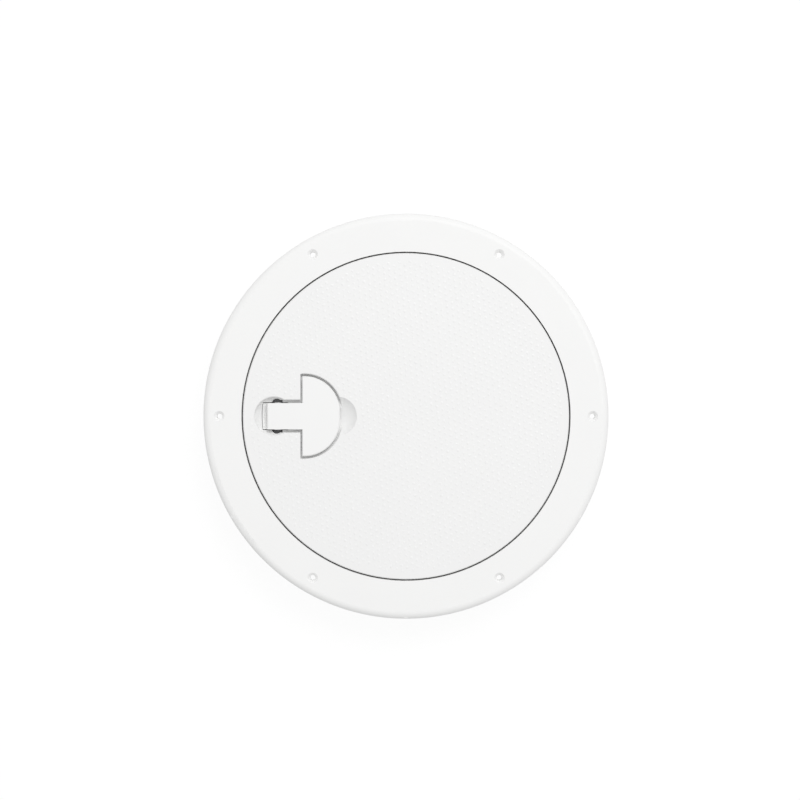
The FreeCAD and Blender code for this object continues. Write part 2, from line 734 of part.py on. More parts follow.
def hub_pin(name, side, grow):
    """A pin through the hub and the shaft, from the hub's underside. A hole grows past its pin."""
    length = f"(hub_radius + shaft_radius + 1 + 2 * {grow})"
    return cylinder(name, f"pin_radius + {grow}", length, PIVOT_X, f"{side} * pin_offset",
                    f"{PIVOT_Z} - hub_radius + fit_gap - {grow}")


def hub_pins():
    pins = [hub_pin(f"hub_pin_{tag}", side, "0") for tag, side in SIDES.items()]
    return group("hub_pins", pins)


def handle_shaft():
    """A round shaft with squared ends, a groove for a small seal near each end, and tapped ends."""
    half = BUSH_OUTSIDE
    rod = hinge_cylinder("rod", "shaft_radius", half)
    flat = "(shaft_square / 2)"
    reach = f"({CLAW_OUTSIDE} - 0.1)"
    square = box("square", (f"{PIVOT_X} - {flat}", f"{PIVOT_X} + {flat}"), (f"0 - {reach}", reach),
                 (f"{PIVOT_Z} - {flat}", f"{PIVOT_Z} + {flat}"))
    corners = hinge_cylinder("square_corners", "shaft_radius - 0.3", reach)
    pin_holes = [hub_pin(f"shaft_pin_hole_{tag}", side, "fit_gap") for tag, side in SIDES.items()]
    tools = [join("shaft_pin_holes", pin_holes)]
    for tag, side in SIDES.items():
        middle = f"{side} * {SMALL_SEAL_PLACE}"
        groove_half = "(small_seal_section / 2 + small_seal_gap)"
        outside = hinge_cylinder(f"groove_{tag}_outside", "shaft_radius + 1", groove_half, middle)
        inside = hinge_cylinder(f"groove_{tag}_inside", "shaft_radius - small_seal_section - fit_gap",
                                "small_seal_section", middle)
        tools.append(cut(f"groove_{tag}", outside, [inside]))
        depth = "(claw_screw_length - washer_thickness)"
        tools.append(hinge_cylinder(f"thread_{tag}", "claw_screw_radius + fit_gap", f"{depth} / 2",
                                    f"{side} * ({CLAW_OUTSIDE} - {depth} / 2)"))
    whole = join("shaft_solid", [rod, overlap("shaft_ends", [square, corners])])
    return cut("handle_shaft", whole, tools)


def shaft_bushes():
    """A flanged bush, pressed into the well's wall from outside."""
    inside = "(shaft_radius + bush_gap)"
    body_half = f"({BUSH_LENGTH} / 2)"
    middle = f"({WALL_OUTSIDE} - {body_half})"
    body = hinge_cylinder("bush_body", f"{inside} + bush_wall", body_half, middle)
    flange_half = "(bush_flange_thickness / 2)"
    flange = hinge_cylinder("bush_rim", "bush_flange", flange_half, f"{WALL_OUTSIDE} + {flange_half}")
    bore = hinge_cylinder("bush_bore", inside, f"{body_half} + 2", middle)
    return both_sides("shaft_bushes", cut("bush", join("bush_solid", [body, flange]), [bore]))


def shaft_seals():
    """A small square-section seal in each groove of the shaft, level with the shaft's surface."""
    half = "(small_seal_section / 2)"
    ring = hinge_cylinder("small_seal_outside", "shaft_radius", half, SMALL_SEAL_PLACE)
    hole = hinge_cylinder("small_seal_inside", "shaft_radius - small_seal_section", "small_seal_section",
                          SMALL_SEAL_PLACE)
    return both_sides("shaft_seals", cut("small_seal", ring, [hole]))


def lean_point(radius, angle):
    """A point of a side outline, by its distance from the hinge and its lean outwards from down."""
    return f"0 - ({radius}) * sin({angle})", f"0 - ({radius}) * cos({angle})"


def latch_claws():
    """A claw: a hub with a square hole, a leaning arm, and a hook with a rounded holding face."""
    side_lean = "(asin(arm_width / 2 / hook_radius) / 1 deg)"
    outer_lean = f"(arm_lean + {side_lean})"
    inner_lean = f"(arm_lean - {side_lean})"
    bottom = "(hook_radius + hook_height)"
    root = "(claw_hub * 0.8)"
    outer_root = lean_point(root, "arm_lean + 90 - 52")
    inner_root = lean_point(root, "arm_lean - 90 + 52")
    corners = [
        outer_root,
        (*lean_point("hook_radius", outer_lean), "x"),
        (*lean_point("hook_radius", "hook_lean"), "x"),
        lean_point(bottom, "toe_lean"),
        lean_point(bottom, inner_lean),
        inner_root,
    ]
    # The holding face runs outwards along a circle about the hinge
    arcs = {1: ("0", "0", "hook_radius", False)}
    body = side_plate("claw_arm", corners, arcs, "claw_thickness / 2")
    bind(body, y=f"({CLAW_INSIDE} + claw_thickness / 2)")
    half = "(claw_thickness / 2)"
    middle = f"{CLAW_INSIDE} + {half}"
    hub = hinge_cylinder("claw_hub_disc", "claw_hub", half, middle)
    flat = "(shaft_square / 2 + square_gap)"
    hole = box("claw_square", (f"{PIVOT_X} - {flat}", f"{PIVOT_X} + {flat}"),
               (f"{CLAW_INSIDE} - 1", f"{CLAW_OUTSIDE} + 1"),
               (f"{PIVOT_Z} - {flat}", f"{PIVOT_Z} + {flat}"))
    corners_hole = hinge_cylinder("claw_corners", "shaft_radius - 0.25", f"{half} + 1", middle)
    claw = cut("claw", join("claw_solid", [body, hub]), [overlap("claw_hole", [hole, corners_hole])])
    return both_sides("latch_claws", claw)


def claw_washers():
    half = "(washer_thickness / 2)"
    middle = f"{CLAW_OUTSIDE} + {half}"
    disc = hinge_cylinder("washer_disc", "washer_radius", half, middle)
    hole = hinge_cylinder("washer_hole", "claw_screw_radius + 0.1", f"{half} + 1", middle)
    return both_sides("claw_washers", cut("washer", disc, [hole]))


def claw_screws():
    """A pan-head screw with a socket, in each end of the shaft."""
    face = f"({CLAW_OUTSIDE} + washer_thickness)"
    thread = hinge_cylinder("claw_thread", "claw_screw_radius", "claw_screw_length / 2",
                            f"{face} - claw_screw_length / 2")
    head = hinge_cylinder("claw_head", "claw_screw_head", "claw_screw_head_height / 2",
                          f"{face} + claw_screw_head_height / 2")
    socket = hinge_cylinder("claw_socket", "drive_radius", "drive_depth / 2",
                            f"{face} + claw_screw_head_height - drive_depth / 2 + 0.01")
    screw = cut("claw_screw", join("claw_screw_solid", [thread, head]), [socket])
    return both_sides("claw_screws", screw)


def keeper_clip():
    """A bent strip: a flat foot on the pad, and a nose that the hooks lie under."""
    face = f"({STRIP_FACE} - pivot_reach)"
    back = "(pad_face - pivot_reach)"
    under = "(hook_radius - hook_clearance)"
    over = "(hook_radius - hook_clearance - strip_thickness)"
    low = f"(0 - strip_foot - {PIVOT_Z})"
    corners = [
        (f"0 - {face}", low),
        (f"0 - {face}", f"0 - sqrt({under} ^ 2 - {face} ^ 2)", "x"),
        (*lean_point(under, "nose_lean"), "x"),
        (*lean_point(over, "nose_lean"), "x"),
        (f"0 - {back}", f"0 - sqrt({over} ^ 2 - {back} ^ 2)", "x"),
        (f"0 - {back}", low),
    ]
    arcs = {1: ("0", "0", under, True), 3: ("0", "0", over, False)}
    strip = side_plate("strip", corners, arcs, "strip_half")
    holes = [cylinder(f"strip_hole_{tag}", "keeper_screw_radius + 0.1", "strip_thickness + 2",
                      "0 - pad_face - 1", f"{side} * keeper_screw_spread", "0 - keeper_screw_height",
                      ROUND_ENDS_TO_X) for tag, side in SIDES.items()]
    return cut("keeper_clip", strip, [join("strip_holes", holes)])


def keeper_screws():
    """Pan-head screws that hold the strip on its pad."""
    y = "keeper_screw_spread"
    z = "0 - keeper_screw_height"
    thread = cylinder("keeper_thread", "keeper_screw_radius - fit_gap", "keeper_screw_length",
                      f"0 - {STRIP_FACE} - keeper_screw_length", y, z, ROUND_ENDS_TO_X)
    head = cylinder("keeper_head", "keeper_screw_head", "keeper_screw_head_height",
                    f"0 - {STRIP_FACE}", y, z, ROUND_ENDS_TO_X)
    socket = cylinder("keeper_socket", "drive_radius", "drive_depth + 0.01",
                      f"0 - {STRIP_FACE} + keeper_screw_head_height - drive_depth", y, z, ROUND_ENDS_TO_X)
    screw = cut("keeper_screw", join("keeper_screw_solid", [thread, head]), [socket])
    return both_sides("keeper_screws", screw)


def handle_spring():
    """A torsion spring of square wire: one leg under the lever's heel, one down to the pocket."""
    wire = value("spring_wire / 2")
    radius = value("shaft_radius + spring_clearance + spring_wire / 2")
    pitch = value("spring_wire * 1.1")
    length = pitch * value("spring_turns")
    coil = Part.makeHelix(pitch, length, radius)
    sides = [(-wire, -wire), (wire, -wire), (wire, wire), (-wire, wire), (-wire, -wire)]
    section = Part.makePolygon([FreeCAD.Vector(radius + across, 0, along) for across, along in sides])
    body = Part.Wire(coil.Edges).makePipeShell([section], True, True)
    # The coil starts at the top of the shaft and ends a quarter of a turn on, to its right
    body.rotate(FreeCAD.Vector(), FreeCAD.Vector(0, 0, 1), -90)
    upper_leg = value(f"{HEEL} - heel_wall - spring_end_gap")
    lower_leg = math.sqrt(value(f"{SWING} - spring_end_gap") ** 2 - (radius + wire) ** 2)
    upper_start = FreeCAD.Vector(-upper_leg, -radius - wire, -wire)
    upper = Part.makeBox(upper_leg, 2 * wire, 2 * wire, upper_start)
    lower_start = FreeCAD.Vector(radius - wire, 0, length - wire)
    lower = Part.makeBox(2 * wire, lower_leg, 2 * wire, lower_start)
    shape = body.fuse([upper, lower])
    spring = doc.addObject("Part::Feature", "handle_spring")
    spring.Shape = shape
    start = FreeCAD.Vector(value(PIVOT_X), -length / 2, value(PIVOT_Z))
    spring.Placement = FreeCAD.Placement(start, ROUND_ENDS_TO_Y)
    return spring


PIECES = {
    "deck_frame": deck_frame,
    "lid": lid,
    "handle": handle,
    "hub_pins": hub_pins,
    "handle_shaft": handle_shaft,
    "shaft_bushes": shaft_bushes,
    "shaft_seals": shaft_seals,
    "latch_claws": latch_claws,
    "claw_washers": claw_washers,
    "claw_screws": claw_screws,
    "keeper_clip": keeper_clip,
    "keeper_screws": keeper_screws,
    "handle_spring": handle_spring,
    "lid_seal": lid_seal,
}
made = {}
for label, make in PIECES.items():
    made[label] = make()
    made[label].Label = label
doc.recompute()

for thing in doc.Objects:
    if {"Invalid", "Error"} & set(thing.State):
        raise RuntimeError(f"{thing.Label} is {thing.State}")
os.makedirs("parts", exist_ok=True)
for label, thing in made.items():
    if thing.Shape.isNull() or not thing.Shape.isValid():
        raise RuntimeError(f"{label} has no valid shape")
    print(label, len(thing.Shape.Solids), round(thing.Shape.Volume, 1))
    thing.Shape.exportStep(f"parts/{label}.step")
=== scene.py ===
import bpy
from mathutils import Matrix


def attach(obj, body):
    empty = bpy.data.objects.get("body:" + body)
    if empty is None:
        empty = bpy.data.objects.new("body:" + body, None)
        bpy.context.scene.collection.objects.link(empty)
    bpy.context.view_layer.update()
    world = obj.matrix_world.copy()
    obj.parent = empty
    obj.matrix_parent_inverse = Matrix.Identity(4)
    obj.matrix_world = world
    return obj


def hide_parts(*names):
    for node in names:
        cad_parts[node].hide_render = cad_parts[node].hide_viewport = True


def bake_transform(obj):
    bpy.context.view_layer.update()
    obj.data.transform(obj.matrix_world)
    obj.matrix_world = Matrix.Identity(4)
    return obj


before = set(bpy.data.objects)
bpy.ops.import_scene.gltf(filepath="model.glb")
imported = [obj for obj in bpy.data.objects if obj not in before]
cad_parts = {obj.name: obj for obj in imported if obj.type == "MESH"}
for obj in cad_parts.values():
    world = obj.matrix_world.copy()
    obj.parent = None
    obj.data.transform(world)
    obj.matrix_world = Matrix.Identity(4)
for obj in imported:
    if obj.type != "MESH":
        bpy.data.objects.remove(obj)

"""The looks of a round deck inspection plate: a white moulded ring, a lid with a field of grip pips,
and a T-shaped lever that lies flush in the lid.

Lengths in the classes of the pieces are millimetres. The finishes and the lamp are in metres.
"""

import logging
import math
from dataclasses import dataclass, field
from enum import Enum

import bmesh
import bpy
import numpy as np
from mathutils import Vector

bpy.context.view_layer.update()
MM = 0.001
log = logging.getLogger("deck_plate")


# Meshes

def rotation_about_z(degrees: float) -> np.ndarray:
    """The 2 by 2 matrix that turns a plan by an angle.

    Args:
        degrees: the angle, anticlockwise seen from above.
    Returns:
        The matrix, for points written as rows times its transpose.
    """
    turn = math.radians(degrees)
    return np.array([[math.cos(turn), -math.sin(turn)], [math.sin(turn), math.cos(turn)]])


def grid_faces(rows: int, columns: int, close_rows: bool = False, close_columns: bool = True) -> np.ndarray:
    """The quads of a grid of points, numbered row by row.

    Point (i, j) has the number i * columns + j. A quad joins (i, j), (i, j + 1), (i + 1, j + 1) and
    (i + 1, j).

    Args:
        rows: how many rows of points there are.
        columns: how many points a row has.
        close_rows: whether the last row joins the first.
        close_columns: whether each row is a ring.
    Returns:
        An array of quads, four point numbers each.
    """
    row_steps = rows if close_rows else rows - 1
    column_steps = columns if close_columns else columns - 1
    i, j = np.meshgrid(np.arange(row_steps), np.arange(column_steps), indexing="ij")
    after_i = (i + 1) % rows
    after_j = (j + 1) % columns
    quads = np.stack([i * columns + j, i * columns + after_j, after_i * columns + after_j,
                      after_i * columns + j], axis=-1)
    return quads.reshape(-1, 4)


def mesh_piece(name: str, points: np.ndarray, faces: list, smooth: bool = True) -> bpy.types.Object:
    """A new object in the scene from points in millimetres.

    Args:
        name: the piece's name.
        points: an array of points, three columns.
        faces: lists of point numbers, or arrays with one face a row.
        smooth: whether the shading runs smoothly over the faces.
    Returns:
        The object, at the origin, unturned and unscaled.
    """
    whole = [face for block in faces for face in np.asarray(block).tolist()]
    mesh = bpy.data.meshes.new(name)
    mesh.from_pydata((np.asarray(points) * MM).tolist(), [], whole)
    mesh.polygons.foreach_set("use_smooth", np.full(len(mesh.polygons), smooth))
    mesh.update()
    thing = bpy.data.objects.new(name, mesh)
    bpy.context.scene.collection.objects.link(thing)
    return thing


def shade_by_angle(thing: bpy.types.Object, degrees: float) -> None:
    """Marks the edges that bend by more than an angle as sharp, and the rest as smooth.

    Args:
        thing: the mesh object.
        degrees: the angle between two faces past which their edge is sharp.
    """
    thing.data.set_sharp_from_angle(angle=math.radians(degrees))


class Along(Enum):
    """The axis that a lathed piece is turned about."""

    X = "x"
    Y = "y"
    Z = "z"

    def place(self, across: np.ndarray, up: np.ndarray, along: np.ndarray) -> np.ndarray:
        """Puts two cross directions and the axis's own direction in the frame's order."""
        order = {Along.X: (along, across, up), Along.Y: (up, along, across), Along.Z: (across, up, along)}
        return np.stack(order[self], axis=-1)


def lathed(profile: np.ndarray, centre: tuple, axis: Along, steps: int, way: int = 1,
           lobes: np.ndarray | None = None, closed: bool = False) -> tuple[np.ndarray, list]:
    """A profile turned about an axis.

    The surface is a function of the turn t and the profile's step s: the point lies at radius(s), times
    lobe(t, s) where one is given, in the direction (cos t, sin t) across the axis, and at height(s)
    along it. Where the radius is zero at an end the ring is one point, closed by a fan.

    Args:
        profile: rows of (radius, height). Unless it is closed, it starts and ends on the axis.
        centre: the point on the axis where the height is zero.
        axis: the axis.
        steps: how many points go round.
        way: 1 if the height runs along the axis, -1 if it runs against it.
        lobes: a factor on the radius for each profile step and each turn, for a socket's outline.
        closed: whether the profile comes back to its start, as on a ring.
    Returns:
        The points and the faces.
    """
    turn = np.linspace(0, 2 * math.pi, steps, endpoint=False)
    radius = profile[:, :1] * (np.ones((len(profile), steps)) if lobes is None else lobes)
    height = np.repeat(profile[:, 1:], steps, axis=1) * way
    points = axis.place(radius * np.cos(turn), radius * np.sin(turn), height).reshape(-1, 3)
    points = points + np.array(centre)
    quads = grid_faces(len(profile), steps, close_rows=closed)
    if closed:
        return points, [quads]
    return pole_fans(points, quads, steps)


def pole_fans(points: np.ndarray, quads: np.ndarray, steps: int) -> tuple[np.ndarray, list]:
    """Closes both ends of a lathed grid with a fan of triangles about one point on the axis.

    Args:
        points: the grid's points, row by row, of which the first and the last row lie on the axis.
        quads: the grid's quads.
        steps: how many points a row has.
    Returns:
        The points with both poles added, and the faces without the quads that had no width.
    """
    rows = len(points) // steps
    first_pole = points[:steps].mean(axis=0)
    last_pole = points[-steps:].mean(axis=0)
    inner = points[steps:-steps]
    kept = quads[steps:-steps] - steps
    count = len(inner)
    ring = np.arange(steps)
    after = (ring + 1) % steps
    first_fan = np.stack([np.full(steps, count), after, ring], axis=1)
    last_ring = (rows - 3) * steps
    last_fan = np.stack([np.full(steps, count + 1), last_ring + ring, last_ring + after], axis=1)
    return np.vstack([inner, first_pole, last_pole]), [kept, first_fan, last_fan]


def merged(parts: list) -> tuple[np.ndarray, list]:
    """Several lots of points and faces as one.

    Args:
        parts: pairs of points and faces.
    Returns:
        The points one lot after another, and the faces with their numbers moved on to match.
    """
    counts = np.cumsum([0] + [len(points) for points, _ in parts])
    faces = [block + first for (_, blocks), first in zip(parts, counts) for block in blocks]
    return np.vstack([points for points, _ in parts]), faces


def recalculate_outside(thing: bpy.types.Object) -> None:
    """Turns every face of a closed mesh outwards.

    Args:
        thing: the mesh object.
    """
    work = bmesh.new()
    work.from_mesh(thing.data)
    bmesh.ops.recalc_face_normals(work, faces=work.faces)
    work.to_mesh(thing.data)
    work.free()


def tube(name: str, path: np.ndarray, radius: float, sides: int, hint: tuple) -> bpy.types.Object:
    """A round wire carried along a path.

    The surface is a function of the step i along the path and the turn t: the point lies at the path's
    point i, plus the radius times cos t along the side direction and sin t along the other. The side
    direction is the hint less its part along the path, made one long, and the other is square to both.

    Args:
        name: the piece's name.
        path: the wire's middle line, one point a row.
        radius: the wire's radius.
        sides: how many points go round.
        hint: a direction that the path never follows.
    Returns:
        The object, with both ends closed.
    """
    forward = np.gradient(path, axis=0)
    forward /= np.linalg.norm(forward, axis=1, keepdims=True)
    side = np.array(hint) - (forward @ np.array(hint))[:, None] * forward
    side /= np.linalg.norm(side, axis=1, keepdims=True)
    other = np.cross(forward, side)
    turn = np.linspace(0, 2 * math.pi, sides, endpoint=False)
    ring = (side[:, None, :] * np.cos(turn)[None, :, None]
            + other[:, None, :] * np.sin(turn)[None, :, None]) * radius
    points = (path[:, None, :] + ring).reshape(-1, 3)
    start_cap = np.arange(sides)[::-1]
    end_cap = np.arange(sides) + (len(path) - 1) * sides
    thing = mesh_piece(name, points, [grid_faces(len(path), sides), [start_cap], [end_cap]])
    recalculate_outside(thing)
    return thing


# Finishes

def new_material(name: str) -> tuple[bpy.types.Material, bpy.types.ShaderNodeBsdfPrincipled]:
    """A material with its principled shader.

    Args:
        name: the material's name.
    Returns:
        The material and its shader node.
    """
    material = bpy.data.materials.new(name)
    material.use_nodes = True
    return material, material.node_tree.nodes["Principled BSDF"]


def join(material: bpy.types.Material, source: bpy.types.NodeSocket, target: bpy.types.NodeSocket) -> None:
    """Links one socket of a material's nodes to another."""
    material.node_tree.links.new(source, target)


def object_noise(material: bpy.types.Material, scale: float, detail: float,
                 stretch: tuple = (1, 1, 1)) -> bpy.types.Node:
    """A noise that is fixed to the piece's own coordinates.

    Args:
        material: the material to add it to.
        scale: cells per metre.
        detail: how many finer layers it has.
        stretch: a factor on the scale along each axis.
    Returns:
        The noise node.
    """
    nodes = material.node_tree.nodes
    place = nodes.new("ShaderNodeTexCoord")
    mapping = nodes.new("ShaderNodeMapping")
    mapping.inputs["Scale"].default_value = stretch
    noise = nodes.new("ShaderNodeTexNoise")
    noise.inputs["Scale"].default_value = scale
    noise.inputs["Detail"].default_value = detail
    join(material, place.outputs["Object"], mapping.inputs["Vector"])
    join(material, mapping.outputs["Vector"], noise.inputs["Vector"])
    return noise


def spread(material: bpy.types.Material, source: bpy.types.Node, low: float, high: float) -> bpy.types.Node:
    """Turns a noise into values between two limits.

    A noise lies mostly between 0.3 and 0.7, so these become the two limits, with a straight line between.

    Args:
        material: the material to add it to.
        source: the noise node.
        low: the value at the noise's low end.
        high: the value at the noise's high end.
    Returns:
        The node that gives the values.
    """
    node = material.node_tree.nodes.new("ShaderNodeMapRange")
    for name, value in {"From Min": 0.3, "From Max": 0.7, "To Min": low, "To Max": high}.items():
        node.inputs[name].default_value = value
    join(material, source.outputs["Fac"], node.inputs["Value"])
    return node


def tint(material: bpy.types.Material, source: bpy.types.Node, light: tuple,
         dark: tuple) -> bpy.types.Node:
    """A colour that runs from dark to light with a noise.

    Args:
        material: the material to add it to.
        source: the noise node.
        light: the colour at the noise's high end.
        dark: the colour at the noise's low end.
    Returns:
        The node that gives the colour.
    """
    node = material.node_tree.nodes.new("ShaderNodeMix")
    node.data_type = "RGBA"
    node.inputs["A"].default_value = (*dark, 1)
    node.inputs["B"].default_value = (*light, 1)
    share = spread(material, source, 0, 1)
    join(material, share.outputs["Result"], node.inputs["Factor"])
    return node


def relief(material: bpy.types.Material, shader: bpy.types.Node, source: bpy.types.Node,
           depth: float) -> None:
    """A bump from a noise.

    Args:
        material: the material to add it to.
        shader: the material's shader node.
        source: the noise node.
        depth: how deep the bump is, in metres.
    """
    bump = material.node_tree.nodes.new("ShaderNodeBump")
    bump.inputs["Distance"].default_value = depth
    join(material, source.outputs["Fac"], bump.inputs["Height"])
    join(material, bump.outputs["Normal"], shader.inputs["Normal"])


@dataclass(frozen=True)
class MouldedPlastic:
    """Moulded plastic: a fine grain from the mould, and a slow drift of colour and gloss."""

    name: str
    colour: tuple
    drift: float = 0.008
    drift_per_metre: float = 18
    drift_layers: int = 2
    gloss_low: float = 0.34
    gloss_high: float = 0.44
    gloss_per_metre: float = 55
    gloss_layers: int = 4
    grain_depth: float = 0.00002
    grain_per_metre: float = 1400
    grain_layers: int = 3
    refraction: float = 1.5

    def make(self) -> bpy.types.Material:
        """The plastic's material.

        Returns:
            The material, with its colour, gloss and bump from three noises.
        """
        material, shader = new_material(self.name)
        slow = object_noise(material, self.drift_per_metre, self.drift_layers)
        dark = tuple(channel - self.drift for channel in self.colour)
        colour = tint(material, slow, self.colour, dark)
        join(material, colour.outputs["Result"], shader.inputs["Base Color"])
        patches = object_noise(material, self.gloss_per_metre, self.gloss_layers)
        gloss = spread(material, patches, self.gloss_low, self.gloss_high)
        join(material, gloss.outputs["Result"], shader.inputs["Roughness"])
        grain = object_noise(material, self.grain_per_metre, self.grain_layers)
        relief(material, shader, grain, self.grain_depth)
        shader.inputs["IOR"].default_value = self.refraction
        return material


@dataclass(frozen=True)
class Steel:
    """Stainless steel with the fine lines of its finish along one axis."""

    name: str
    colour: tuple
    stretch: tuple
    line_shade: float = 0.9
    line_depth: float = 0.000004
    lines_per_metre: float = 2600
    line_layers: int = 4
    rough_low: float = 0.22
    rough_high: float = 0.40

    def make(self) -> bpy.types.Material:
        """The steel's material.

        Returns:
            The material, with its colour, gloss and bump from one noise that is drawn out along an axis.
        """
        material, shader = new_material(self.name)
        shader.inputs["Metallic"].default_value = 1
        lines = object_noise(material, self.lines_per_metre, self.line_layers, self.stretch)
        dark = tuple(channel * self.line_shade for channel in self.colour)
        colour = tint(material, lines, self.colour, dark)
        join(material, colour.outputs["Result"], shader.inputs["Base Color"])
        rough = spread(material, lines, self.rough_low, self.rough_high)
        join(material, rough.outputs["Result"], shader.inputs["Roughness"])
        relief(material, shader, lines, self.line_depth)
        return material


@dataclass(frozen=True)
class Rubber:
    """Black rubber: matt, with a fine bloom that lightens it in patches."""

    name: str
    colour: tuple = (0.022, 0.022, 0.023)
    bloom: tuple = (0.045, 0.045, 0.047)
    bloom_per_metre: float = 160
    bloom_layers: int = 5
    rough_low: float = 0.55
    rough_high: float = 0.75
    skin_depth: float = 0.00003
    skin_per_metre: float = 2200
    skin_layers: int = 2

    def make(self) -> bpy.types.Material:
        """The rubber's material.

        Returns:
            The material, with its colour and gloss from one noise and its bump from another.
        """
        material, shader = new_material(self.name)
        patches = object_noise(material, self.bloom_per_metre, self.bloom_layers)
        colour = tint(material, patches, self.bloom, self.colour)
        join(material, colour.outputs["Result"], shader.inputs["Base Color"])
        rough = spread(material, patches, self.rough_low, self.rough_high)
        join(material, rough.outputs["Result"], shader.inputs["Roughness"])
        skin = object_noise(material, self.skin_per_metre, self.skin_layers)
        relief(material, shader, skin, self.skin_depth)
        return material


@dataclass(frozen=True)
class Finishes:
    """Every finish of the plate, made once."""

    ring: MouldedPlastic = MouldedPlastic("ring_moulding", (0.897, 0.897, 0.892),
                                          gloss_low=0.5, gloss_high=0.6)
    lid: MouldedPlastic = MouldedPlastic("lid_moulding", (0.875, 0.875, 0.872),
                                         gloss_low=0.38, gloss_high=0.5)
    lever: MouldedPlastic = MouldedPlastic("lever_moulding", (0.9, 0.9, 0.896),
                                           gloss_low=0.3, gloss_high=0.4)
    bush: MouldedPlastic = MouldedPlastic("bush_moulding", (0.05, 0.05, 0.052), drift=0.01)
    seal: Rubber = Rubber("seal_rubber_black")
    pressed: Steel = Steel("pressed_steel", (0.63, 0.63, 0.64), (1, 0.06, 1))
    turned: Steel = Steel("turned_steel", (0.66, 0.66, 0.67), (0.05, 1, 0.05))
    strip: Steel = Steel("strip_steel", (0.58, 0.58, 0.6), (1, 1, 0.05))


def dress(node: str, material: bpy.types.Material) -> None:
    """Gives a CAD node's every slot one material.

    Args:
        node: the node's name.
        material: its finish.
    """
    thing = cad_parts[node]
    if not thing.material_slots:
        thing.data.materials.append(material)
    for slot in thing.material_slots:
        slot.material = material
    log.info("%s dressed", node)


def finish_piece(thing: bpy.types.Object, material: bpy.types.Material, body: str) -> None:
    """Gives a new piece its material and its body.

    Args:
        thing: the piece.
        material: its finish.
        body: the body that it rides on.
    """
    thing.data.materials.append(material)
    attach(thing, body)
    log.info("%s: %d faces on %s", thing.name, len(thing.data.polygons), body)


# Sub-assemblies

@dataclass
class LeverPocket:
    """The outlines that the lid's top is open along, seen from above."""

    head_centre: float = -69.5
    head_radius: float = 26.4
    head_straight: float = 3.2
    head_back: float = -72.8
    stem_half: float = 11.7
    stem_left: float = -90.0
    well_centre: float = -90.4
    well_radius: float = 13.7
    scoop_centre: float = -46.9
    scoop_radius: float = 13.4

    def distance(self, x: np.ndarray, y: np.ndarray) -> np.ndarray:
        """How far points lie outside the pocket.

        The distance to a disc is the distance to its middle less its radius. The head is a disc that is
        drawn out along Y by a short straight and cut off by its back. The stem is a box. The pocket's
        distance is the smallest of them.

        Args:
            x: the points' places along X.
            y: the points' places along Y.
        Returns:
            The distances, below zero inside the pocket.
        """
        beyond = np.maximum(np.abs(y) - self.head_straight, 0)
        disc = np.hypot(x - self.head_centre, beyond) - self.head_radius
        head = np.maximum(disc, self.head_back - x)
        stem_x = np.maximum(self.stem_left - x, x - self.head_centre)
        stem = np.maximum(stem_x, np.abs(y) - self.stem_half)
        well = np.hypot(x - self.well_centre, y) - self.well_radius
        scoop = np.hypot(x - self.scoop_centre, y) - self.scoop_radius
        return np.minimum(np.minimum(head, stem), np.minimum(well, scoop))


